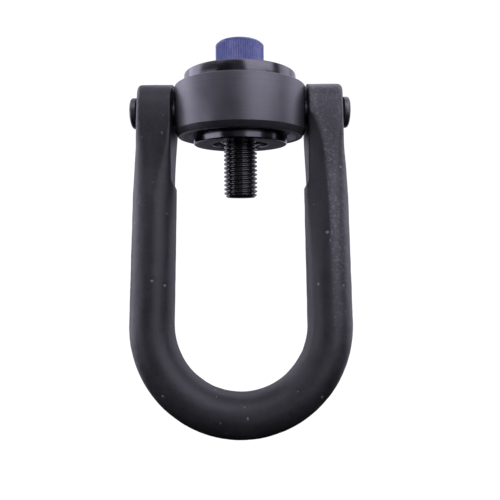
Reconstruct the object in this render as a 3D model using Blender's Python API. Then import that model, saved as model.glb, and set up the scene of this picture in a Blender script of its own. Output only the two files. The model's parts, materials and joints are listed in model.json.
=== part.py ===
"""Swivel hoist ring for an M20 screw, built as its separate pieces.

The screw stands on +Z and its thread points to -Z.  The origin is the centre of the load
face, the underside of the bushing's flange, which rests on whatever is being lifted.
The lifting ring (the bail) hinges on two shoulder pins along X and hangs past the thread,
swung a little towards -Y.  All lengths are in metres.
"""

import math

import bmesh
import bpy
from mathutils import Matrix, Vector

MM = 0.001
RUNNING_GAP = 0.3 * MM

# Screw: M20 x 70 with a cylindrical head
THREAD_DIAMETER = 20.0 * MM
THREAD_PITCH = 2.5 * MM
THREAD_DEPTH = 0.613 * THREAD_PITCH
SCREW_LENGTH = 70.0 * MM
HEAD_DIAMETER = 28.5 * MM
HEAD_HEIGHT = 20.0 * MM
HEAD_SEAT_HEIGHT = 38.7 * MM
HEX_ACROSS_FLATS = 17.0 * MM
HEX_DEPTH = 10.0 * MM

# Bushing: the sleeve that everything turns on, with the load flange at its foot
FLANGE_DIAMETER = 56.0 * MM
FLANGE_HEIGHT = 6.6 * MM
SLEEVE_DIAMETER = 39.0 * MM
SLEEVE_TOP = 33.0 * MM
SCREW_BORE_DIAMETER = 20.8 * MM
RECESS_DIAMETER = 33.0 * MM
RECESS_DEPTH = 5.0 * MM

# Retaining spring: a few turns of wire round the thread, inside the flange's recess
SPRING_WIRE_DIAMETER = 1.5 * MM
SPRING_MEAN_DIAMETER = 22.4 * MM
SPRING_PITCH = 1.9 * MM
SPRING_TURNS = 1.5

# Top washer, which the screw's head sits into
WASHER_DIAMETER = 66.0 * MM
WASHER_TOP = 40.3 * MM
HEAD_CLEARANCE = 0.45 * MM

# Swivel body
BODY_DIAMETER = 77.6 * MM
BODY_BOTTOM = 4.2 * MM
BODY_TOP = 32.7 * MM
BODY_LOWER_CHAMFER = (2.0 * MM, 3.2 * MM)
BODY_RECESS_DEPTH = 2.7 * MM
BODY_RECESS_MOUTH = 67.0 * MM

# Shoulder pins and the roll pins that lock them
PIN_AXIS_HEIGHT = 19.0 * MM
PIN_DIAMETER = 14.0 * MM
PIN_HEAD_DIAMETER = 18.0 * MM
PIN_HEAD_HEIGHT = 3.7 * MM
PIN_INNER_END = 23.0 * MM
ROLL_PIN_DIAMETER = 4.0 * MM
ROLL_PIN_BORE = 2.4 * MM
ROLL_PIN_SLOT = 0.8 * MM
ROLL_PIN_OFFSET = 27.5 * MM
ROLL_PIN_BOTTOM = 9.0 * MM
ROLL_PIN_TOP = 32.4 * MM

# Bail, measured in its own plane from the pin axis
BAR_DIAMETER = 25.1 * MM
LEG_SPACING = 99.6 * MM
LEG_LENGTH = 124.0 * MM
EAR_RADIUS = 16.4 * MM
EAR_INNER_FACE = 39.2 * MM
EAR_OUTER_FACE = 60.4 * MM
EAR_CORNER_POWER = 5.0
RELIEF_LENGTH = 42.0 * MM
RELIEF_RUNOUT = 5.0 * MM
SPOT_FACE_RADIUS = 17.0 * MM
BAIL_REST_SWING = math.radians(-12.0)

ROUND_STEPS = 48
SMALL_STEPS = 24


def black_steel(name, brightness, roughness):
    """Blackened steel, from forged matt to polished."""
    return plain_material(name, (brightness, brightness, brightness * 1.1), roughness, 0.8)


def plain_material(name, colour, roughness, metallic):
    material = bpy.data.materials.new(name)
    material.use_nodes = True
    shader = material.node_tree.nodes["Principled BSDF"]
    shader.inputs["Base Color"].default_value = (*colour, 1.0)
    shader.inputs["Roughness"].default_value = roughness
    shader.inputs["Metallic"].default_value = metallic
    return material


def finish_object(name, bm, material, parent=None):
    """Turns a bmesh into a closed, smooth-shaded object."""
    bmesh.ops.recalc_face_normals(bm, faces=bm.faces)
    mesh = bpy.data.meshes.new(name)
    bm.to_mesh(mesh)
    bm.free()
    mesh.shade_smooth()
    mesh.set_sharp_from_angle(angle=math.radians(35))
    if material:
        mesh.materials.append(material)
    obj = bpy.data.objects.new(name, mesh)
    obj.parent = parent
    bpy.context.scene.collection.objects.link(obj)
    return obj


def turned(name, outline, material, steps=ROUND_STEPS, parent=None):
    """Spins an outline of (radius, height) points about Z; it may start and end on the axis."""
    bm = bmesh.new()
    corners = [bm.verts.new((radius, 0.0, height)) for radius, height in outline]
    pairs = list(zip(corners, corners[1:]))
    if outline[0][0] > 0.0:
        pairs.append((corners[-1], corners[0]))
    edges = [bm.edges.new(pair) for pair in pairs]
    bmesh.ops.spin(bm, geom=corners + edges, axis=(0, 0, 1), cent=(0, 0, 0),
                   angle=2 * math.pi, steps=steps, use_merge=True)
    bmesh.ops.remove_doubles(bm, verts=bm.verts, dist=1e-7)
    return finish_object(name, bm, material, parent)


def lofted(name, rings, material, parent=None):
    """Joins a row of equal rings of points into a tube with flat ends."""
    bm = bmesh.new()
    loops = [[bm.verts.new(point) for point in ring] for ring in rings]
    for near, far in zip(loops, loops[1:]):
        count = len(near)
        for i in range(count):
            j = (i + 1) % count
            bm.faces.new((near[i], near[j], far[j], far[i]))
    bm.faces.new(loops[0])
    bm.faces.new(loops[-1])
    return finish_object(name, bm, material, parent)


def prism(name, outline, axis_matrix, low, high, parent=None):
    """A cutter: an (x, y) outline drawn out from low to high along its own Z."""
    rings = [[axis_matrix @ Vector((x, y, z)) for x, y in outline] for z in (low, high)]
    cutter = lofted(name, rings, None, parent)
    cutter.hide_render = True
    cutter.display_type = "WIRE"
    return cutter


def circle(radius, steps=SMALL_STEPS):
    return [(radius * math.cos(angle), radius * math.sin(angle))
            for angle in (2 * math.pi * i / steps for i in range(steps))]


def cut(obj, cutter):
    boolean = obj.modifiers.new(cutter.name, "BOOLEAN")
    boolean.operation = "DIFFERENCE"
    boolean.solver = "EXACT"
    boolean.object = cutter


def chamfered(radius, height, size, upper):
    """The two outline points of a chamfered outer corner, in the order bottom to top."""
    corner = [(radius, height - size), (radius - size, height)]
    return corner if upper else [(radius - size, height), (radius, height + size)]


# --- The pieces -------------------------------------------------------------------------

def make_bushing(material):
    """Sleeve and load flange in one piece, with a recess for the spring underneath."""
    bore = SCREW_BORE_DIAMETER / 2
    recess = RECESS_DIAMETER / 2
    flange = FLANGE_DIAMETER / 2
    sleeve = SLEEVE_DIAMETER / 2
    outline = [(bore, RECESS_DEPTH), (recess, RECESS_DEPTH), (recess, 0.0)]
    outline += chamfered(flange, 0.0, 0.6 * MM, upper=False)
    outline += chamfered(flange, FLANGE_HEIGHT, 0.3 * MM, upper=True)
    outline += [(sleeve, FLANGE_HEIGHT)]
    outline += chamfered(sleeve, SLEEVE_TOP, 0.5 * MM, upper=True)
    outline += [(bore, SLEEVE_TOP)]
    return turned("flanged_bushing", outline, material)


def make_washer(material):
    """Thick washer: it holds the body down, and its recess centres the screw's head."""
    bottom = SLEEVE_TOP + RUNNING_GAP
    floor = HEAD_SEAT_HEIGHT - RUNNING_GAP
    bore = SCREW_BORE_DIAMETER / 2
    head_recess = HEAD_DIAMETER / 2 + HEAD_CLEARANCE
    outline = [(bore, bottom)]
    outline += chamfered(WASHER_DIAMETER / 2, bottom, 0.5 * MM, upper=False)
    outline += chamfered(WASHER_DIAMETER / 2, WASHER_TOP, 0.7 * MM, upper=True)
    outline += [(head_recess, WASHER_TOP), (head_recess, floor), (bore, floor)]
    return turned("top_washer", outline, material)


def make_body(material):
    """The block that turns on the bushing and carries the shoulder pins."""
    radius = BODY_DIAMETER / 2
    bore = SLEEVE_DIAMETER / 2 + 0.4 * MM
    recess = FLANGE_DIAMETER / 2 + 1.5 * MM
    recess_floor = BODY_BOTTOM + BODY_RECESS_DEPTH
    chamfer_in, chamfer_up = BODY_LOWER_CHAMFER
    outline = [(bore, recess_floor), (recess, recess_floor), (BODY_RECESS_MOUTH / 2, BODY_BOTTOM),
               (radius - chamfer_in, BODY_BOTTOM), (radius, BODY_BOTTOM + chamfer_up)]
    outline += chamfered(radius, BODY_TOP, 0.7 * MM, upper=True)
    outline += [(bore, BODY_TOP)]
    body = turned("swivel_body", outline, material)
    for side, turn in (("left", -90), ("right", 90)):
        sideways = Matrix.Translation((0, 0, PIN_AXIS_HEIGHT)) @ Matrix.Rotation(math.radians(turn), 4, "Y")
        pin_bore = prism(f"cut_pin_bore_{side}", circle(PIN_DIAMETER / 2 + RUNNING_GAP), sideways,
                         PIN_INNER_END - RUNNING_GAP, radius + MM)
        cut(body, pin_bore)
        offset = math.copysign(ROLL_PIN_OFFSET, turn)
        roll_bore = prism(f"cut_roll_bore_{side}", circle(ROLL_PIN_DIAMETER / 2 + RUNNING_GAP, 16),
                          Matrix.Translation((offset, 0, 0)), ROLL_PIN_BOTTOM - RUNNING_GAP, BODY_TOP + MM)
        cut(body, roll_bore)
    return body


def make_shoulder_pin(side, turn, material):
    """Headed pin: the bail hinges on its shank, and its inner end is locked in the body."""
    shank = PIN_DIAMETER / 2
    head = PIN_HEAD_DIAMETER / 2
    seat = EAR_OUTER_FACE + RUNNING_GAP
    outline = [(0.0, PIN_INNER_END), (shank - MM, PIN_INNER_END), (shank, PIN_INNER_END + MM), (shank, seat)]
    outline += chamfered(head, seat, 0.6 * MM, upper=False)
    outline += chamfered(head, seat + PIN_HEAD_HEIGHT, 1.2 * MM, upper=True)
    outline += [(0.0, seat + PIN_HEAD_HEIGHT)]
    pin = turned(f"shoulder_pin_{side}", outline, material, SMALL_STEPS)
    pin.location = (0, 0, PIN_AXIS_HEIGHT)
    pin.rotation_euler = (0, math.radians(turn), 0)
    cross_hole = prism(f"cut_cross_hole_{side}", circle(ROLL_PIN_DIAMETER / 2 + RUNNING_GAP, 16),
                       Matrix.Translation((math.copysign(ROLL_PIN_OFFSET, turn), 0, 0)), 0.0, BODY_TOP)
    cut(pin, cross_hole)
    return pin


def make_roll_pin(side, sign, material):
    """Slotted spring pin, driven down through the body and the shoulder pin."""
    outer, inner = ROLL_PIN_DIAMETER / 2, ROLL_PIN_BORE / 2
    steps = 14
    first = math.asin(ROLL_PIN_SLOT / 2 / outer)
    angles = [first + (2 * math.pi - 2 * first) * i / steps for i in range(steps + 1)]
    section = [(outer * math.cos(a), outer * math.sin(a)) for a in angles]
    section += [(inner * math.cos(a), inner * math.sin(a)) for a in reversed(angles)]
    rings = [[(x, y, z) for x, y in section] for z in (ROLL_PIN_BOTTOM, ROLL_PIN_TOP)]
    pin = lofted(f"roll_pin_{side}", rings, material)
    pin.location = (sign * ROLL_PIN_OFFSET, 0, 0)
    return pin


def make_screw(material):
    """Socket-head screw; the exposed thread is a row of V grooves at the true pitch."""
    crest = THREAD_DIAMETER / 2
    root = crest - THREAD_DEPTH
    tip = HEAD_SEAT_HEIGHT - SCREW_LENGTH
    head = HEAD_DIAMETER / 2
    top = HEAD_SEAT_HEIGHT + HEAD_HEIGHT
    outline = [(0.0, tip), (root - 0.4 * MM, tip)]
    height = tip + 1.2 * MM
    while height < FLANGE_HEIGHT:
        outline += [(crest, height), (crest, height + 0.3 * MM), (root, height + THREAD_PITCH / 2 + 0.15 * MM)]
        height += THREAD_PITCH
    outline += [(crest, height), (crest, HEAD_SEAT_HEIGHT), (head, HEAD_SEAT_HEIGHT)]
    outline += chamfered(head, top, 0.9 * MM, upper=True)
    outline += [(0.0, top)]
    screw = turned("socket_head_screw", outline, material, SMALL_STEPS)
    corner = HEX_ACROSS_FLATS / math.sqrt(3)
    socket = prism("cut_hex_socket", circle(corner, 6), Matrix.Rotation(math.radians(30), 4, "Z"),
                   top - HEX_DEPTH, top + MM)
    cut(screw, socket)
    return screw


def make_retaining_spring(material):
    """Coil of wire that keeps the screw from dropping out of the bushing."""
    wire, mean = SPRING_WIRE_DIAMETER / 2, SPRING_MEAN_DIAMETER / 2
    start = wire + 0.4 * MM
    steps = int(SPRING_TURNS * SMALL_STEPS)
    rings = []
    for i in range(steps + 1):
        turn = 2 * math.pi * i / SMALL_STEPS
        outward = Vector((math.cos(turn), math.sin(turn), 0))
        centre = outward * mean + Vector((0, 0, start + SPRING_PITCH * i / SMALL_STEPS))
        rings.append([centre + outward * x + Vector((0, 0, z)) for x, z in circle(wire, 8)])
    return lofted("retaining_spring", rings, material)


# --- The bail ---------------------------------------------------------------------------

def ease(value):
    value = min(max(value, 0.0), 1.0)
    return value * value * (3 - 2 * value)


def mix(first, second, amount):
    return first + (second - first) * amount


def leg_section(below_pin):
    """Half thickness, half depth and corner power of a leg, this far below the pin axis."""
    bar = BAR_DIAMETER / 2
    ear_half = (EAR_OUTER_FACE - EAR_INNER_FACE) / 2 + 0.3 * MM
    thickness = mix(ear_half, bar, ease((below_pin - 20 * MM) / (34 * MM)))
    if below_pin < 0:
        depth = math.sqrt(EAR_RADIUS ** 2 - below_pin ** 2)
    else:
        depth = mix(EAR_RADIUS, bar, ease(below_pin / (42 * MM)))
    power = mix(EAR_CORNER_POWER, 2.0, ease((below_pin - 8 * MM) / (50 * MM)))
    return thickness, depth, power


def section_ring(centre, across, along_y, section, steps=SMALL_STEPS):
    """A rounded-rectangle ring round a point, in the plane of the two directions."""
    thickness, depth, power = section
    ring = []
    for x, y in circle(1.0, steps):
        reach = (abs(x) ** power + abs(y) ** power) ** (-1.0 / power)
        ring.append(centre + across * (x * reach * thickness) + along_y * (y * reach * depth))
    return ring


def bail_rings():
    """Rings from the left ear's top, down its leg, round the bow and up to the right ear."""
    depth_axis = Vector((0, 1, 0))
    half = LEG_SPACING / 2
    top_arc = [-EAR_RADIUS * math.cos(math.radians(angle)) for angle in (12, 24, 38, 54, 72)]
    leg = [0.0, 8 * MM, 14 * MM, 19 * MM, 24 * MM, 29 * MM, 34 * MM, 42 * MM, 50 * MM, 58 * MM]
    leg += [90 * MM]
    rings = [section_ring(Vector((-half, 0, -down)), Vector((1, 0, 0)), depth_axis, leg_section(down))
             for down in top_arc + leg]
    bow_steps = 18
    for i in range(bow_steps + 1):
        angle = math.pi * i / bow_steps
        outward = Vector((-math.cos(angle), 0, -math.sin(angle)))
        centre = Vector((0, 0, -LEG_LENGTH)) + outward * half
        rings.append(section_ring(centre, -outward, depth_axis, leg_section(LEG_LENGTH)))
    rings += [section_ring(Vector((half, 0, -down)), Vector((-1, 0, 0)), depth_axis, leg_section(down))
              for down in reversed(top_arc + leg)]
    return rings


def make_bail(material):
    pivot = bpy.data.objects.new("bail_pivot", None)
    pivot.location = (0, 0, PIN_AXIS_HEIGHT)
    pivot.rotation_euler = (BAIL_REST_SWING, 0, 0)
    bpy.context.scene.collection.objects.link(pivot)
    bail = lofted("bail", bail_rings(), material, pivot)

    # the milled slot between the ears, which runs out into the round legs
    face, start, end = EAR_INNER_FACE, RELIEF_LENGTH, RELIEF_LENGTH + RELIEF_RUNOUT
    slot_outline = [(-face, -start), (-face + 3 * MM, -end), (face - 3 * MM, -end), (face, -start),
                    (face, EAR_RADIUS + MM), (-face, EAR_RADIUS + MM)]
    along_depth = Matrix(((1, 0, 0, 0), (0, 0, -1, 0), (0, 1, 0, 0), (0, 0, 0, 1)))
    reach = EAR_RADIUS + 2 * MM
    cut(bail, prism("cut_ear_slot", slot_outline, along_depth, -reach, reach, pivot))
    for side, turn in (("left", -90), ("right", 90)):
        sideways = Matrix.Rotation(math.radians(turn), 4, "Y")
        cut(bail, prism(f"cut_ear_bore_{side}", circle(PIN_DIAMETER / 2 + RUNNING_GAP), sideways,
                        EAR_INNER_FACE - MM, EAR_OUTER_FACE + 2 * MM, pivot))
        cut(bail, prism(f"cut_spot_face_{side}", circle(SPOT_FACE_RADIUS, ROUND_STEPS), sideways,
                        EAR_OUTER_FACE, EAR_OUTER_FACE + 5 * MM, pivot))
    return bail


def main():
    for obj in list(bpy.data.objects):
        bpy.data.objects.remove(obj, do_unlink=True)

    forged_black = black_steel("forged_black", 0.035, 0.6)
    satin_black = black_steel("satin_black", 0.06, 0.38)
    gloss_black = black_steel("gloss_black", 0.02, 0.18)
    spring_steel = black_steel("spring_steel", 0.10, 0.35)
    blue_dye = plain_material("blue_dye", (0.09, 0.10, 0.42), 0.35, 0.5)

    make_bushing(gloss_black)
    make_washer(gloss_black)
    make_body(satin_black)
    make_screw(blue_dye)
    make_retaining_spring(spring_steel)
    for side, turn in (("left", -90), ("right", 90)):
        make_shoulder_pin(side, turn, forged_black)
        make_roll_pin(side, math.copysign(1, turn), spring_steel)
    make_bail(forged_black)


main()
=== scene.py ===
"""Looks of the swivel hoist ring: fine meshes, materials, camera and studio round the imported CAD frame.

Sizes are in metres, in the frame's axes: the screw stands on +Z and the pins lie along X.
Shapes with many small features are written in millimetres, where their names end in _MM.
"""

import math

import bmesh
import bpy
import numpy as np
from mathutils import Matrix, Vector, noise
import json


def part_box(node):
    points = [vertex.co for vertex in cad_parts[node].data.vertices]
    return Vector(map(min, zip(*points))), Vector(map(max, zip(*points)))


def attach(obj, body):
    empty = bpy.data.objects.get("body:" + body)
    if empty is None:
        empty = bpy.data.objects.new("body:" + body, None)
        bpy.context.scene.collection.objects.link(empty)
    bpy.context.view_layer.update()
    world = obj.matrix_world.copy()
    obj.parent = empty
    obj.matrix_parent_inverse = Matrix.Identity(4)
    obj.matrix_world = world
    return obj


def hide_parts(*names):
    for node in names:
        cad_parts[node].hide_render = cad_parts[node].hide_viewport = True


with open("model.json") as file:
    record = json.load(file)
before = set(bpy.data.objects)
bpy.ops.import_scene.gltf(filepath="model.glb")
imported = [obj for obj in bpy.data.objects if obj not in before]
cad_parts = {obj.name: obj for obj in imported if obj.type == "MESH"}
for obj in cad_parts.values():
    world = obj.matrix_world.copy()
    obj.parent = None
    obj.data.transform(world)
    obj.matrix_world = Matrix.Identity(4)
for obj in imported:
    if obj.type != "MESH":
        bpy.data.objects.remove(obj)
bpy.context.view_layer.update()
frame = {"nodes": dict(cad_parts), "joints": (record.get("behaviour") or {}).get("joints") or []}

MM = 0.001
JOINTS = {joint["name"]: joint for joint in frame["joints"]}
PIVOT = Vector(JOINTS["bail_pivot"]["pos_m"])
BAIL_REST_SWING = math.radians(-12.0)

ROUND_STEPS = 192
ROUNDED_SHARE = 0.45


# --- Meshes -----------------------------------------------------------------------------

def place(name, mesh, material, body, node=None):
    """Links a mesh as a piece that rides on a CAD body and, if told to, stands for a node."""
    mesh.materials.append(material)
    piece = bpy.data.objects.new(name, mesh)
    bpy.context.scene.collection.objects.link(piece)
    bpy.context.view_layer.update()
    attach(piece, body)
    if node:
        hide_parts(node)
    return piece


def shaded(mesh, sharp_degrees=None):
    mesh.shade_smooth()
    if sharp_degrees:
        mesh.set_sharp_from_angle(angle=math.radians(sharp_degrees))
    return mesh


def grid_mesh(name, rings, closed=False):
    """A mesh from equal rings of points; each ring closes on itself.

    The last ring joins the first if the mesh is closed, and otherwise a flat face ends each end.
    """
    rings = np.asarray(rings, float)
    count, around = rings.shape[:2]
    near = np.arange(count * around).reshape(count, around)
    near_next = np.roll(near, -1, axis=1)
    far, far_next = np.roll(near, -1, axis=0), np.roll(near_next, -1, axis=0)
    quads = np.stack([near, near_next, far_next, far], axis=-1)
    if closed:
        faces = quads.reshape(-1, 4).tolist()
    else:
        faces = quads[:-1].reshape(-1, 4).tolist() + [near[0][::-1].tolist(), near[-1].tolist()]
    mesh = bpy.data.meshes.new(name)
    mesh.from_pydata(rings.reshape(-1, 3).tolist(), [], faces)
    mesh.update()
    return outward(mesh)


def outward(mesh):
    bm = bmesh.new()
    bm.from_mesh(mesh)
    bmesh.ops.recalc_face_normals(bm, faces=bm.faces)
    bm.to_mesh(mesh)
    bm.free()
    return mesh


def softened(outline, radii, steps=4):
    """Rounds the corners of a closed (radius, height) outline, each by its own radius.

    A corner's rounding takes no more than the rounded share of the sides beside it.
    """
    points = [Vector(point) for point in outline]
    result = []
    for i, corner in enumerate(points):
        before, after = points[i - 1], points[(i + 1) % len(points)]
        back, ahead = (before - corner), (after - corner)
        half = back.angle(ahead) / 2
        size = radii[i]
        if size <= 0 or half > math.radians(88):
            result.append(tuple(corner))
            continue
        reach = min(size / math.tan(half), ROUNDED_SHARE * back.length, ROUNDED_SHARE * ahead.length)
        size = reach * math.tan(half)
        centre = corner + (back.normalized() + ahead.normalized()).normalized() * (size / math.sin(half))
        first = corner + back.normalized() * reach - centre
        last = corner + ahead.normalized() * reach - centre
        for k in range(steps + 1):
            result.append(tuple(centre + first.slerp(last, k / steps) * size))
    return result


def lathe(name, outline, steps=ROUND_STEPS):
    """A ring turned about Z from a closed (radius, height) outline."""
    rings = []
    for k in range(steps):
        angle = 2 * math.pi * k / steps
        rings.append([(r * math.cos(angle), r * math.sin(angle), z) for r, z in outline])
    return grid_mesh(name, rings, closed=True)


def solid_lathe(name, outline, steps=ROUND_STEPS):
    """A solid turned about Z from an open outline; its two ends are closed by flat faces."""
    angles = np.linspace(0, 2 * math.pi, steps, endpoint=False)
    circle = np.stack([np.cos(angles), np.sin(angles)], axis=-1)
    rings = [np.column_stack([circle * r, np.full(steps, z)]) for r, z in outline]
    return grid_mesh(name, rings)


def cut_cylinders(piece, cylinders):
    """Cuts round holes: each is (matrix, radius, low, high) along the matrix's Z."""
    for matrix, radius, low, high in cylinders:
        cutter_mesh = solid_lathe("hole_cutter", [(radius, low), (radius, high)], 64)
        cutter_mesh.transform(matrix)
        cutter = bpy.data.objects.new("hole_cutter", cutter_mesh)
        bpy.context.scene.collection.objects.link(cutter)
        boolean = piece.modifiers.new("hole", "BOOLEAN")
        boolean.operation = "DIFFERENCE"
        boolean.solver = "EXACT"
        boolean.object = cutter
        bpy.context.view_layer.update()
        evaluated = piece.evaluated_get(bpy.context.evaluated_depsgraph_get())
        result = bpy.data.meshes.new_from_object(evaluated)
        piece.modifiers.clear()
        old, piece.data = piece.data, result
        bpy.data.meshes.remove(old)
        bpy.data.objects.remove(cutter)
    piece.data.set_sharp_from_angle(angle=math.radians(40))


# --- Material nodes ---------------------------------------------------------------------

def add(tree, kind, inputs=None, **settings):
    """Adds a shader node; an input is either a value or another node's output socket."""
    made = tree.nodes.new("ShaderNode" + kind)
    for key, value in settings.items():
        setattr(made, key, value)
    for key, value in (inputs or {}).items():
        if isinstance(value, bpy.types.NodeSocket):
            tree.links.new(value, made.inputs[key])
        else:
            made.inputs[key].default_value = value
    return made


def new_material(name, metallic, specular=0.5):
    material = bpy.data.materials.new(name)
    material.use_nodes = True
    tree = material.node_tree
    shader = tree.nodes["Principled BSDF"]
    shader.inputs["Metallic"].default_value = metallic
    shader.inputs["Specular IOR Level"].default_value = specular
    return material, tree, shader


def object_point(tree):
    return add(tree, "TexCoord").outputs["Object"]


def noise_value(tree, vector, scale, detail=4.0, roughness=0.55):
    """Fractal noise from 0 to 1; scale counts features per metre."""
    settings = {"Vector": vector, "Scale": scale, "Detail": detail, "Roughness": roughness}
    return add(tree, "TexNoise", settings).outputs["Fac"]


def remap(tree, value, low, high, to_low=0.0, to_high=1.0):
    made = add(tree, "MapRange", {"Value": value, "From Min": low, "From Max": high,
                                  "To Min": to_low, "To Max": to_high})
    return made.outputs["Result"]


def math_node(tree, operation, first, second=0.0):
    return add(tree, "Math", {0: first, 1: second}, operation=operation).outputs["Value"]


def mix_colour(tree, amount, first, second):
    made = add(tree, "Mix", {"Factor": amount}, data_type="RGBA")
    for key, value in (("A", first), ("B", second)):
        socket = next(s for s in made.inputs if s.name == key and s.type == "RGBA")
        if isinstance(value, bpy.types.NodeSocket):
            tree.links.new(value, socket)
        else:
            socket.default_value = (*value, 1.0)
    return next(s for s in made.outputs if s.type == "RGBA")


def bump(tree, height, distance, strength=1.0, normal=None):
    inputs = {"Height": height, "Distance": distance, "Strength": strength}
    if normal is not None:
        inputs["Normal"] = normal
    return add(tree, "Bump", inputs).outputs["Normal"]


def turned_rings(tree, point, per_metre):
    """Noise that changes only with the radius and height, like the marks of a lathe tool."""
    split = add(tree, "SeparateXYZ", {"Vector": point})
    x, y, z = (split.outputs[axis] for axis in "XYZ")
    radius = math_node(tree, "SQRT", math_node(tree, "ADD", math_node(tree, "MULTIPLY", x, x),
                                               math_node(tree, "MULTIPLY", y, y)))
    joined = add(tree, "CombineXYZ", {"X": radius, "Y": z, "Z": 0.0})
    return noise_value(tree, joined.outputs["Vector"], per_metre, detail=3.0, roughness=0.6)


# --- Materials --------------------------------------------------------------------------

def grey(value):
    """A black steel's colour: grey with a little violet."""
    return (value, 0.98 * value, 1.03 * value)


def attribute(tree, name):
    return add(tree, "Attribute", attribute_name=name).outputs["Fac"]


def nicks(tree, point, scale, share, size):
    """Small ragged spots: 1 inside, 0 outside. Scale counts cells per metre."""
    wander = add(tree, "TexNoise", {"Vector": point, "Scale": 4.0 * scale, "Detail": 3.0}).outputs["Color"]
    shift = add(tree, "VectorMath", {0: wander, "Scale": 0.5 / scale}, operation="SCALE").outputs["Vector"]
    moved = add(tree, "VectorMath", {0: point, 1: shift}, operation="ADD").outputs["Vector"]
    cells = add(tree, "TexVoronoi", {"Vector": moved, "Scale": scale})
    lottery = add(tree, "SeparateColor", {"Color": cells.outputs["Color"]}).outputs["Red"]
    chosen = math_node(tree, "LESS_THAN", lottery, share)
    spot = remap(tree, cells.outputs["Distance"], 0.55 * size, size, 1.0, 0.0)
    return math_node(tree, "MULTIPLY", spot, chosen)


def forged_material():
    """Black oxide over a shot-blasted forging: dull and mottled, with grit and bright nicks."""
    material, tree, shader = new_material("forged_black_oxide", metallic=0.0, specular=0.45)
    point = object_point(tree)
    patches = noise_value(tree, point, 60.0, detail=6.0)
    grit = noise_value(tree, point, 700.0, detail=5.0, roughness=0.65)
    tone = math_node(tree, "ADD", math_node(tree, "MULTIPLY", patches, 0.6),
                     math_node(tree, "MULTIPLY", grit, 0.4))
    base = mix_colour(tree, remap(tree, tone, 0.3, 0.7), grey(0.016), grey(0.036))

    grain = attribute(tree, "grain")
    base = mix_colour(tree, math_node(tree, "MULTIPLY", grain, 0.5), base, grey(0.10))
    pitted = remap(tree, noise_value(tree, point, 650.0, detail=4.0, roughness=0.75), 0.52, 0.64)
    base = mix_colour(tree, math_node(tree, "MULTIPLY", grain, pitted), base, grey(0.16))
    scuffs = nicks(tree, point, 150.0, 0.05, 0.14)
    base = mix_colour(tree, math_node(tree, "MULTIPLY", scuffs, 0.8), base, grey(0.15))
    bare = remap(tree, attribute(tree, "worn"), 0.3, 0.7)
    base = mix_colour(tree, math_node(tree, "MULTIPLY", bare, 0.8), base, grey(0.28))
    tree.links.new(base, shader.inputs["Base Color"])
    tree.links.new(remap(tree, tone, 0.3, 0.7, 0.36, 0.50), shader.inputs["Roughness"])

    pits = noise_value(tree, point, 300.0, detail=4.0)
    normal = bump(tree, pits, 0.00025, 0.35)
    normal = bump(tree, grit, 0.00010, 0.5, normal)
    tree.links.new(normal, shader.inputs["Normal"])
    return material


def turned_material(name, dark, light, metallic, roughness, ring_depth):
    """Blackened steel that came off a lathe: fine rings in tone, gloss and height."""
    material, tree, shader = new_material(name, metallic)
    point = object_point(tree)
    rings = turned_rings(tree, point, 1800.0)
    clouds = noise_value(tree, point, 70.0, detail=5.0)
    tone = math_node(tree, "ADD", math_node(tree, "MULTIPLY", rings, 0.35),
                     math_node(tree, "MULTIPLY", clouds, 0.65))
    base = mix_colour(tree, remap(tree, tone, 0.35, 0.65), grey(dark), grey(light))
    tree.links.new(base, shader.inputs["Base Color"])
    low, high = roughness
    tree.links.new(remap(tree, clouds, 0.3, 0.7, low, high), shader.inputs["Roughness"])
    tree.links.new(bump(tree, rings, ring_depth, 0.3), shader.inputs["Normal"])
    return material


def thread_material():
    """Oil-blackened thread: deep black with a fairly sharp shine."""
    material, tree, shader = new_material("blackened_thread", metallic=0.0, specular=0.9)
    point = object_point(tree)
    clouds = noise_value(tree, point, 250.0, detail=4.0)
    base = mix_colour(tree, remap(tree, clouds, 0.3, 0.7), (0.012, 0.012, 0.012), (0.024, 0.023, 0.023))
    tree.links.new(base, shader.inputs["Base Color"])
    tree.links.new(remap(tree, clouds, 0.3, 0.7, 0.14, 0.22), shader.inputs["Roughness"])
    tree.links.new(bump(tree, clouds, 0.00004, 0.3), shader.inputs["Normal"])
    return material


def blue_material():
    """Blue dye on the screw's head, uneven and a little worn."""
    material, tree, shader = new_material("blue_dyed_head", metallic=0.0, specular=0.55)
    point = object_point(tree)
    clouds = noise_value(tree, point, 160.0, detail=5.0, roughness=0.65)
    base = mix_colour(tree, remap(tree, clouds, 0.3, 0.7), (0.086, 0.108, 0.315), (0.160, 0.178, 0.405))
    tree.links.new(base, shader.inputs["Base Color"])
    tree.links.new(remap(tree, clouds, 0.3, 0.7, 0.22, 0.34), shader.inputs["Roughness"])
    tree.links.new(bump(tree, noise_value(tree, point, 1500.0), 0.00004, 0.4), shader.inputs["Normal"])
    return material


# --- The bail ---------------------------------------------------------------------------

BAR_MM = 12.55
HALF_SPACING_MM = 49.8
BOW_CENTRE_MM = 124.0
EAR_RADIUS_MM = 16.4
EAR_HALF_MM = 10.5
EAR_DRAFT_MM = 2.0
EAR_EDGE_MM = 2.8
SLOT_FACE_MM = 39.2
SPOT_FACE_MM = 60.4
SPOT_RADIUS_MM = 17.0
BORE_MM = 7.3
FLASH_MM = 0.3
FLASH_SPREAD_MM = 1.7
CREASE_END_MM = -0.6
CREASE_SWING_MM = 10.4
CREASE_START_MM = 4.0
CREASE_LENGTH_MM = 16.0
FACET_SLOPE = math.radians(33)
FACET_HALF_MM = 6.5
FACET_BULGE_MM = 0.6
RELIEF_LENGTH_MM = 42.0
RELIEF_RUNOUT_MM = 6.0
RELIEF_DEPTH_MM = 3.4
DENTS = 110
DEEPEST_DENT_MM = 0.25
FAR_INSIDE_MM = -1e3


def ease(value):
    value = np.clip(value, 0.0, 1.0)
    return value * value * (3 - 2 * value)


def mix(first, second, amount):
    return first + (second - first) * amount


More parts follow.
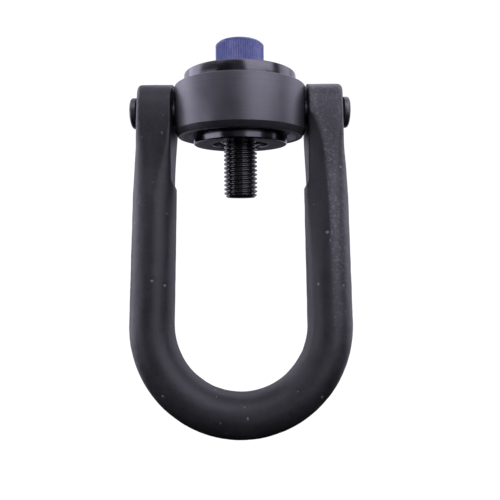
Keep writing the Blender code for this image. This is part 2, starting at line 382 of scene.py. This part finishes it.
def grown(below, start, length):
    """A smooth change down a leg: 0 until the start, and 1 from the start plus the length on."""
    return ease((below - start) / length)


def smooth_max(first, second, blend):
    """The larger of two distances, with the edge between them rounded over about the blend."""
    share = np.clip(0.5 + 0.5 * (first - second) / blend, 0.0, 1.0)
    return second + (first - second) * share + blend * share * (1 - share)


def crease_place(below):
    """Where the die's crease runs across a leg: it starts at the slot and swings to the middle."""
    still_to_swing = np.exp(-np.maximum(below - CREASE_START_MM, 0) / CREASE_LENGTH_MM)
    return CREASE_END_MM - CREASE_SWING_MM * still_to_swing


def bail_distance(x, y, z):
    """Signed distance in mm to the bail, whose pin axis is X and whose legs run to -Z."""
    below = -z
    from_middle = np.where(below < BOW_CENTRE_MM, np.abs(x), np.hypot(x, below - BOW_CENTRE_MM))
    across = from_middle - HALF_SPACING_MM
    from_pin = np.hypot(y, z)

    # the leg: a flat-sided ear, drafted on its outer side, that becomes a round bar
    depth = mix(EAR_RADIUS_MM, BAR_MM, grown(below, 0, 42))
    depth_out = np.where(z > 0, from_pin - EAR_RADIUS_MM, np.abs(y) - depth)
    ear = EAR_HALF_MM - EAR_DRAFT_MM * (y / EAR_RADIUS_MM) ** 2
    thickness = np.where(across > 0, mix(ear, BAR_MM, grown(below, 20, 34)), BAR_MM)
    corner = mix(EAR_EDGE_MM, BAR_MM, grown(below, 6, 52))
    out_x = np.abs(across) - thickness + corner
    out_y = depth_out + corner
    outside = np.hypot(np.maximum(out_x, 0), np.maximum(out_y, 0))
    body = outside + np.minimum(np.maximum(out_x, out_y), 0) - corner

    # the die's runout: a facet that slopes inwards from a crease, on one diagonal pair of quarters
    crease = crease_place(below)
    over = np.clip(np.abs(crease) - (BAR_MM - corner), 0.0, corner)
    crease_depth = depth - corner + np.sqrt(corner ** 2 - over ** 2)
    from_x, from_y = crease - across, np.abs(y) - crease_depth
    sine, cosine = math.sin(FACET_SLOPE), math.cos(FACET_SLOPE)
    outward_reach = from_x * sine + from_y * cosine
    along = from_x * cosine - from_y * sine
    bulge = FACET_BULGE_MM * (1 - np.clip((along - FACET_HALF_MM) / FACET_HALF_MM, -1.5, 1.5) ** 2)
    fading = 3 * (1 - grown(below, 0, 9)) + 2.2 * grown(below, 62, 55)
    facet = outward_reach - bulge - fading
    body = np.where((x * y < 0) & (below > 0), smooth_max(body, facet, 0.5), body)

    # the trimmed flash on the parting line all round
    body = body - FLASH_MM * np.exp(-(y / FLASH_SPREAD_MM) ** 2)

    # the milled slot, the turned spot faces and the pin bores
    ramp = np.clip((below - RELIEF_LENGTH_MM) / RELIEF_RUNOUT_MM, 0.0, 1.0)
    slot_face = np.where(below < 60, SLOT_FACE_MM - RELIEF_DEPTH_MM * ramp ** 1.5, FAR_INSIDE_MM)
    body = smooth_max(body, slot_face - np.abs(x), 0.7)
    spot = smooth_max(from_pin - SPOT_RADIUS_MM, SPOT_FACE_MM - np.abs(x), 0.8)
    body = smooth_max(body, -spot, 0.5)
    bore = np.where(np.abs(x) > 25, BORE_MM - from_pin, FAR_INSIDE_MM)
    return smooth_max(body, bore, 0.5)


def surface_net(distance, low, high, step):
    """Quads over the zero level of a distance function, on a grid of the given step."""
    axes = [np.arange(a, b + step, step) for a, b in zip(low, high)]
    field = distance(*np.meshgrid(*axes, indexing="ij"))
    inside = field < 0
    shape = tuple(n - 1 for n in field.shape)

    def corner(array, i, j, k):
        return array[i:i + shape[0], j:j + shape[1], k:k + shape[2]]

    corners = [(i, j, k) for i in (0, 1) for j in (0, 1) for k in (0, 1)]
    filled = sum(corner(inside, *c).astype(np.int8) for c in corners)
    active = np.argwhere((filled > 0) & (filled < 8))
    total = np.zeros((len(active), 3))
    crossings = np.zeros(len(active))
    at = active.T
    for first in corners:
        for axis in range(3):
            if first[axis]:
                continue
            second = tuple(c + (n == axis) for n, c in enumerate(first))
            start = field[at[0] + first[0], at[1] + first[1], at[2] + first[2]]
            end = field[at[0] + second[0], at[1] + second[1], at[2] + second[2]]
            crossed = (start < 0) != (end < 0)
            share = np.where(crossed, start / np.where(crossed, start - end, 1.0), 0.0)
            offset = np.repeat(np.array(first, float)[None], len(active), axis=0)
            offset[:, axis] += share
            total += offset * crossed[:, None]
            crossings += crossed
    points = np.array(low) + (active + total / crossings[:, None]) * step

    number = np.full(shape, -1, np.int32)
    number[tuple(at)] = np.arange(len(active))
    quads = []
    for axis in range(3):
        second, third = (axis + 1) % 3, (axis + 2) % 3
        forward = np.roll(inside, -1, axis=axis)
        changed = inside != forward
        index = np.argwhere(changed)
        keep = (index[:, axis] < shape[axis]) & (index[:, second] > 0) & (index[:, third] > 0)
        keep &= (index[:, second] < shape[second]) & (index[:, third] < shape[third])
        index = index[keep]
        cells = []
        for back_second, back_third in ((1, 1), (0, 1), (0, 0), (1, 0)):
            cell = index.copy()
            cell[:, second] -= back_second
            cell[:, third] -= back_third
            cells.append(number[tuple(cell.T)])
        quad = np.stack(cells, axis=-1)
        leaving = inside[tuple(index.T)]
        quads.append(np.where(leaving[:, None], quad, quad[:, ::-1]))
    return points, np.concatenate(quads)


def settled(points, distance, rounds=4, reach=0.05):
    """Moves the points onto the zero level, and gives their outward directions too."""
    for _ in range(rounds + 1):
        value = distance(*points.T)
        slope = np.empty_like(points)
        for axis in range(3):
            step = np.zeros(3)
            step[axis] = reach
            slope[:, axis] = (distance(*(points + step).T) - distance(*(points - step).T)) / (2 * reach)
        length = np.maximum(np.linalg.norm(slope, axis=1), 0.3)
        points = points - slope * (np.clip(value, -0.5, 0.5) / length ** 2)[:, None]
    return points, slope / length[:, None]


def forging_waves(points):
    """Uneven skin of the forging, in mm, at a few wavelengths."""
    waves = np.empty(len(points))
    for i, point in enumerate(points.tolist()):
        spot = Vector(point)
        waves[i] = 0.12 * noise.noise(spot / 9.0) + 0.06 * noise.noise(spot / 3.2) - 0.12
    return waves


def knocks(points, open_skin, count, seed):
    """Depth in mm of small dents from use, at random places on the skin."""
    chance = np.random.default_rng(seed)
    depth = np.zeros(len(points))
    for centre in points[chance.choice(np.flatnonzero(open_skin), count)]:
        radius = chance.uniform(0.3, 0.8)
        reach = np.linalg.norm((points - centre) / chance.uniform(0.5, 1.9, 3), axis=1)
        depth = np.maximum(depth, 0.3 * radius * np.exp(-(reach / radius) ** 2))
    return depth


def grain_beside_crease(points):
    """How strongly the skin is pitted, from 0 to 1: a strip just outside the crease of the die."""
    x, y, z = points.T
    across = np.abs(x) - HALF_SPACING_MM
    beyond = across - crease_place(-z)
    strip = mix(0.45, 1.0, np.exp(-((beyond - 3.2) / 2.6) ** 2)) * ease((beyond + 0.3) / 1.2)
    along = ease((-z + 18) / 8) * ease((165 + z) / 110)
    return strip * along * ease((np.abs(y) - 3) / 6) * np.where(x * y < 0, 1.0, 0.1)


def build_bail(material):
    step = 0.75
    low = (-HALF_SPACING_MM - BAR_MM - 2, -EAR_RADIUS_MM - 2, -BOW_CENTRE_MM - HALF_SPACING_MM - BAR_MM - 2)
    high = (HALF_SPACING_MM + BAR_MM + 2, EAR_RADIUS_MM + 2, EAR_RADIUS_MM + 2)
    points, quads = surface_net(bail_distance, low, high, step)
    points, normals = settled(points, bail_distance)
    x, y, z = points.T
    from_pin = np.hypot(y, z)
    milled = (np.abs(np.abs(x) - SLOT_FACE_MM) < 0.3) & (z > -RELIEF_LENGTH_MM - 1)
    milled |= (from_pin < SPOT_RADIUS_MM) & (np.abs(x) > SPOT_FACE_MM - 0.3)
    milled |= from_pin < BORE_MM + 0.6
    worn = knocks(points, ~milled, DENTS, seed=7)
    points = points + normals * (forging_waves(points) * ~milled - worn)[:, None]
    mesh = bpy.data.meshes.new("bail_forging")
    mesh.from_pydata((points * MM).tolist(), [], quads.tolist())
    mesh.update()
    for name, value in (("worn", worn / DEEPEST_DENT_MM), ("grain", grain_beside_crease(points))):
        mesh.attributes.new(name, "FLOAT", "POINT").data.foreach_set("value", value.astype(np.float32))
    shaded(mesh)
    mesh.transform(Matrix.Translation(PIVOT) @ Matrix.Rotation(BAIL_REST_SWING, 4, "X"))
    return place("bail_forging", mesh, material, "bail", "bail")


# --- The turned pieces ------------------------------------------------------------------

THREAD_PITCH = 2.5 * MM
THREAD_RADIUS = 10.0 * MM
THREAD_DEPTH = 0.541 * THREAD_PITCH
HEAD_SEAT = 38.7 * MM
HEAD_RADIUS = 14.25 * MM
SCREW_BORE = 10.4 * MM
PIN_RADIUS = 7.0 * MM
ROLL_PIN_OFFSET = 27.5 * MM
HEX_FLAT = 8.5 * MM
HEX_DEPTH = 10.0 * MM
KNURLS = 66
KNURL_DEPTH = 0.36 * MM
KNURL_RUNOUT = 0.9 * MM


def build_bushing(material):
    low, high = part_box("flanged_bushing")
    flange, sleeve, bore, recess = high.x, 19.5 * MM, SCREW_BORE, 16.5 * MM
    flange_top, recess_top = 6.6 * MM, 5.0 * MM
    outline = [(bore, recess_top), (recess, recess_top), (recess, low.z), (flange - 0.3 * MM, low.z),
               (flange, flange_top), (sleeve, flange_top), (sleeve, high.z), (bore, high.z)]
    fine = 0.5 * MM
    mesh = lathe("bushing", softened(outline, [0.3 * MM, fine, fine, 0.7 * MM, 0.3 * MM, fine, fine, fine]))
    return place("bushing", shaded(mesh, 50), material, "bushing", "flanged_bushing")


def build_washer(material):
    low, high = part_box("top_washer")
    floor = HEAD_SEAT - 0.3 * MM
    bore, recess = SCREW_BORE, HEAD_RADIUS + 0.45 * MM
    outline = [(bore, low.z), (high.x, low.z), (high.x, high.z),
               (recess, high.z), (recess, floor), (bore, floor)]
    fine = 0.5 * MM
    mesh = lathe("thick_washer", softened(outline, [fine, fine, 0.8 * MM, fine, 0.2 * MM, fine]))
    return place("thick_washer", shaded(mesh, 50), material, "bushing", "top_washer")


def build_body(material):
    low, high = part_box("swivel_body")
    bore, recess, recess_mouth, recess_top = 19.9 * MM, 29.5 * MM, 33.5 * MM, low.z + 2.7 * MM
    chamfer_in, chamfer_up = 2.0 * MM, 3.2 * MM
    outline = [(bore, recess_top), (recess, recess_top), (recess_mouth, low.z),
               (high.x - chamfer_in, low.z), (high.x, low.z + chamfer_up), (high.x, high.z), (bore, high.z)]
    fine = 0.4 * MM
    mesh = lathe("body_ring", softened(outline, [fine, fine, fine, fine, fine, 0.6 * MM, fine]))
    piece = place("body_ring", shaded(mesh, 50), material, "swivel", "swivel_body")
    holes = []
    for turn in (-90, 90):
        sideways = Matrix.Translation(PIVOT) @ Matrix.Rotation(math.radians(turn), 4, "Y")
        holes.append((sideways, PIN_RADIUS + 0.3 * MM, 22.7 * MM, 45 * MM))
        roll_pin = Matrix.Translation((math.copysign(ROLL_PIN_OFFSET, turn), 0, 0))
        holes.append((roll_pin, 2.3 * MM, 8.7 * MM, 34 * MM))
    cut_cylinders(piece, holes)
    return piece


def build_pin(side, turn, material):
    low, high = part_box(f"shoulder_pin_{side}")
    reach = max(abs(low.x), abs(high.x))
    inner = min(abs(low.x), abs(high.x))
    head, shank, seat = (high.z - low.z) / 2, PIN_RADIUS, 60.7 * MM
    neck, lower_edge, upper_edge = shank - 0.3 * MM, 0.5 * MM, 1.5 * MM
    outline = [(shank - 1.0 * MM, inner), (shank, inner + 1.0 * MM), (shank, seat - 0.6 * MM),
               (neck, seat - 0.3 * MM), (neck, seat), (head - lower_edge, seat)]
    for angle in np.radians(np.linspace(0, 90, 5)):
        outline.append((head - lower_edge * (1 - math.sin(angle)), seat + lower_edge * (1 - math.cos(angle))))
    for angle in np.radians(np.linspace(0, 90, 9)):
        outline.append((head - upper_edge * (1 - math.cos(angle)),
                        reach - upper_edge * (1 - math.sin(angle))))
    centre_mark = [(2.0 * MM, reach), (1.2 * MM, reach - 0.9 * MM), (0.2 * MM, reach - 1.3 * MM)]
    outline += [(head * 0.55, reach)] + centre_mark
    mesh = solid_lathe(f"pin_{side}", outline, 96)
    mesh.transform(Matrix.Translation(PIVOT) @ Matrix.Rotation(math.radians(turn), 4, "Y"))
    node = f"shoulder_pin_{side}"
    return place(f"pin_{side}", shaded(mesh, 50), material, "swivel", node)


def thread_radius(height, angle):
    """Radius of the M20 thread's 60 degree profile at a height and an angle."""
    phase = (height / THREAD_PITCH - angle / (2 * math.pi)) % 1.0
    crest_share = np.clip((np.abs(phase - 0.5) * 2 - 0.14) / 0.66, 0.0, 1.0)
    return THREAD_RADIUS - THREAD_DEPTH * (1 - mix(crest_share, ease(crest_share), 0.6))


def build_shank(material):
    """The threaded shank, from its chamfered tip to under the head."""
    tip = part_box("socket_head_screw")[0].z
    thread_end = 9.0 * MM
    around = 96
    angles = np.linspace(0, 2 * math.pi, around, endpoint=False)
    heights = list(np.arange(tip, thread_end, THREAD_PITCH / 20)) + [thread_end + 1.5 * MM, HEAD_SEAT]
    rings = []
    for height in heights:
        chamfer = THREAD_RADIUS - 1.9 * MM + (height - tip) * 1.2
        radius = thread_radius(height, angles) if height < thread_end else np.full(around, THREAD_RADIUS)
        fade = ease((height - (thread_end - THREAD_PITCH)) / THREAD_PITCH)
        radius = np.minimum(mix(radius, THREAD_RADIUS, fade), chamfer)
        x, y = radius * np.cos(angles), radius * np.sin(angles)
        rings.append(np.column_stack([x, y, np.full(around, height)]))
    mesh = grid_mesh("screw_shank", rings)
    return place("screw_shank", shaded(mesh, 40), material, "screw", None)


def build_head(material):
    """The knurled head with its hex socket, as one stack of rings from the seat to the socket's floor."""
    seat, top = HEAD_SEAT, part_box("socket_head_screw")[1].z
    radius = HEAD_RADIUS
    around = KNURLS * 8
    angles = np.linspace(0, 2 * math.pi, around, endpoint=False)
    circle = np.stack([np.cos(angles), np.sin(angles)], axis=-1)
    teeth = 0.5 + 0.5 * np.cos(KNURLS * angles)
    sector = (angles - math.radians(30)) % math.radians(60) - math.radians(30)
    hexagon = HEX_FLAT / np.cos(sector)

    def ring(size, height):
        return np.column_stack([circle * np.broadcast_to(size, around)[:, None], np.full(around, height)])

    knurl_low, knurl_high = seat + 4.2 * MM, top - 1.5 * MM
    rings = [ring(THREAD_RADIUS - 0.2 * MM, seat + 0.05 * MM), ring(radius - 0.5 * MM, seat + 0.05 * MM),
             ring(radius, seat + 0.5 * MM)]
    for height in np.linspace(knurl_low - 0.6 * MM, knurl_high + 0.5 * MM, 25):
        from_foot, from_top = height - knurl_low + 0.5 * MM, knurl_high + 0.4 * MM - height
        fade = ease(from_foot / KNURL_RUNOUT) * ease(from_top / KNURL_RUNOUT)
        rings.append(ring(radius - KNURL_DEPTH * fade * teeth ** 0.8, height))
    chamfer = 1.3 * MM
    for share in np.linspace(0, 1, 7):
        swell = math.sin(math.pi * share)
        rings.append(ring(radius - chamfer * (0.84 * share + 0.16 * swell),
                          top - chamfer * (1 - share - 0.10 * swell)))
    mouth = HEX_FLAT / math.cos(math.radians(30)) + 0.3 * MM
    rings += [ring(mouth + 0.2 * MM, top), ring(mouth, top - 0.1 * MM)]
    rings += [ring(np.minimum(hexagon, mouth), top - 0.1 * MM - (mouth - hexagon) * 0.5)]
    for share in (0.3, 0.7, 1.0):
        rings.append(ring(hexagon - 0.02 * MM, top - 1.0 * MM - (HEX_DEPTH - 1.0 * MM) * share))
    rings += [ring(7.5 * MM, top - HEX_DEPTH - 0.3 * MM), ring(0.4 * MM, top - HEX_DEPTH - 2.6 * MM)]
    mesh = grid_mesh("screw_head", rings)
    return place("screw_head", shaded(mesh, 35), material, "screw", "socket_head_screw")


def build_spring(material):
    """One and a half turns of round wire in the flange's recess."""
    low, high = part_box("retaining_spring")
    wire, mean, turns = 0.75 * MM, 11.2 * MM, 1.5
    pitch = (high.z - low.z - 2 * wire) / turns
    steps, sides = 144, 14
    rings = []
    for i in range(steps + 1):
        turn = 2 * math.pi * turns * i / steps
        outwards = np.array([math.cos(turn), math.sin(turn), 0])
        centre = outwards * mean + np.array([0, 0, low.z + wire + pitch * turns * i / steps])
        narrow = wire if 0 < i < steps else wire * 0.7
        rings.append([centre + outwards * narrow * math.cos(a) + np.array([0, 0, narrow * math.sin(a)])
                      for a in np.linspace(0, 2 * math.pi, sides, endpoint=False)])
    mesh = grid_mesh("spring_wire", rings)
    return place("spring_wire", shaded(mesh, 50), material, "screw", "retaining_spring")


# --- Studio -----------------------------------------------------------------------------

CAMERA_PLACE = Vector((0.0054, -0.2916, -0.0446))
CAMERA_PITCH = math.radians(-3.6)
CAMERA_ROLL = math.radians(0.42)
CAMERA_LENS = 34.6
LAMP_COLOUR = (1.0, 0.975, 1.2)

# name, azimuth, elevation, width and height in degrees, and glow
SOFTBOXES = [
    ("left_key", -65, 0, 38, 24, 1.4),
    ("left_side", -102, 15, 36, 70, 1.6),
    ("left_back", -140, 20, 50, 50, 0.5),
    ("left_low", -136, -24, 64, 24, 0.55),
    ("left_up", -56, 38, 40, 22, 0.5),
    ("right_key", 32, 1, 36, 26, 0.95),
    ("right_up", 41, 25, 54, 22, 1.4),
    ("right_high", 42, 49, 54, 26, 0.9),
    ("right_side", 102, 8, 30, 50, 1.0),
    ("right_back", 140, 5, 50, 50, 0.4),
    ("right_low", 138, -24, 60, 24, 0.34),
    ("front", 0, 8, 28, 40, 0.07),
    ("front_top", 0, 48, 60, 30, 0.6),
    ("top", 0, 80, 60, 60, 0.36),
    ("back_top", 145, 50, 70, 40, 0.8),
    ("back_low", 180, -12, 100, 16, 0.04),
]

STAGE_RADIUS = 8.0
FLOOR_HEIGHT = -0.45
STAGE_WHITE = 1.05


def build_camera():
    camera = bpy.data.cameras.new("camera")
    camera.lens = CAMERA_LENS
    camera.sensor_width = 36.0
    camera.clip_start, camera.clip_end = 0.01, 50.0
    holder = bpy.data.objects.new("camera", camera)
    holder.location = CAMERA_PLACE
    holder.rotation_euler = (math.radians(90) + CAMERA_PITCH, CAMERA_ROLL, 0)
    bpy.context.scene.collection.objects.link(holder)
    bpy.context.scene.camera = holder


def glowing(name, colour, strength):
    material = bpy.data.materials.new(name)
    material.use_nodes = True
    tree = material.node_tree
    tree.nodes.clear()
    glow = add(tree, "Emission", {"Color": (*colour, 1.0), "Strength": strength})
    output = add(tree, "OutputMaterial")
    tree.links.new(glow.outputs["Emission"], output.inputs["Surface"])
    return material


def stage_piece(name, mesh, material):
    """A floor or backdrop, which only the camera sees: the object mirrors the lamps and the world."""
    mesh.materials.append(material)
    piece = bpy.data.objects.new(name, mesh)
    piece.visible_glossy = False
    piece.visible_diffuse = False
    piece.visible_shadow = False
    bpy.context.scene.collection.objects.link(piece)


def build_backdrop():
    """A white floor well below the ring, and a white dome all round."""
    dome = bmesh.new()
    bmesh.ops.create_uvsphere(dome, u_segments=48, v_segments=24, radius=STAGE_RADIUS)
    dome_mesh = bpy.data.meshes.new("backdrop")
    dome.to_mesh(dome_mesh)
    dome.free()
    white = glowing("studio_white", (1.0, 1.0, 1.0), STAGE_WHITE)
    stage_piece("backdrop", shaded(dome_mesh), white)
    floor_radius = STAGE_RADIUS - 0.2
    floor = solid_lathe("floor", [(floor_radius, FLOOR_HEIGHT - 0.02), (floor_radius, FLOOR_HEIGHT)], 96)
    stage_piece("floor", floor, white)


def softbox(name, azimuth, elevation, width, height, glow, distance=1.0):
    """A lamp aimed at the ring. Azimuth 0 is the camera's side and grows towards +X.

    Width and height are the angles it spans, and glow is its brightness against white paper.
    """
    light = bpy.data.lights.new(name, "AREA")
    light.shape = "RECTANGLE"
    light.size = 2 * distance * math.tan(math.radians(width / 2))
    light.size_y = 2 * distance * math.tan(math.radians(height / 2))
    light.energy = 4 * light.size * light.size_y * glow
    light.color = LAMP_COLOUR
    holder = bpy.data.objects.new(name, light)
    a, e = math.radians(azimuth), math.radians(elevation)
    direction = Vector((math.sin(a) * math.cos(e), -math.cos(a) * math.cos(e), math.sin(e)))
    holder.location = direction * distance
    holder.rotation_euler = direction.to_track_quat("Z", "Y").to_euler()
    holder.visible_camera = False
    bpy.context.scene.collection.objects.link(holder)


def build_world():
    """Light from the white background behind the ring, and a dim room that is black below."""
    world = bpy.data.worlds.new("studio")
    world.use_nodes = True
    bpy.context.scene.world = world
    tree = world.node_tree
    background = tree.nodes["Background"]
    direction = add(tree, "TexCoord").outputs["Generated"]
    split = add(tree, "SeparateXYZ", {"Vector": direction})
    behind = remap(tree, split.outputs["Y"], 0.0, 0.5)
    above = remap(tree, split.outputs["Z"], -0.06, 0.12)
    background_glow = math_node(tree, "MULTIPLY", behind, above)
    room_glow = remap(tree, split.outputs["Z"], -0.3, 0.05)
    room = mix_colour(tree, room_glow, (0.0, 0.0, 0.0), (0.055, 0.054, 0.066))
    both = mix_colour(tree, background_glow, room, (0.35, 0.34, 0.42))
    tree.links.new(both, background.inputs["Color"])


def build_studio():
    build_camera()
    build_backdrop()
    build_world()
    for lamp in SOFTBOXES:
        softbox(*lamp)
    scene = bpy.context.scene
    scene.view_settings.view_transform = "Standard"
    scene.view_settings.look = "None"


def main():
    forged = forged_material()
    satin = turned_material("satin_black_oxide", 0.11, 0.15, 0.75, (0.34, 0.46), 0.00003)
    gloss = turned_material("gloss_black_oxide", 0.10, 0.14, 1.0, (0.17, 0.25), 0.00001)
    blue = blue_material()

    build_bail(forged)
    build_bushing(gloss)
    build_washer(gloss)
    build_body(satin)
    for side, turn in (("left", -90), ("right", 90)):
        build_pin(side, turn, satin)
        frame["nodes"][f"roll_pin_{side}"].data.materials.clear()
        frame["nodes"][f"roll_pin_{side}"].data.materials.append(gloss)
    build_shank(thread_material())
    build_head(blue)
    build_spring(gloss)
    build_studio()


main()

import json
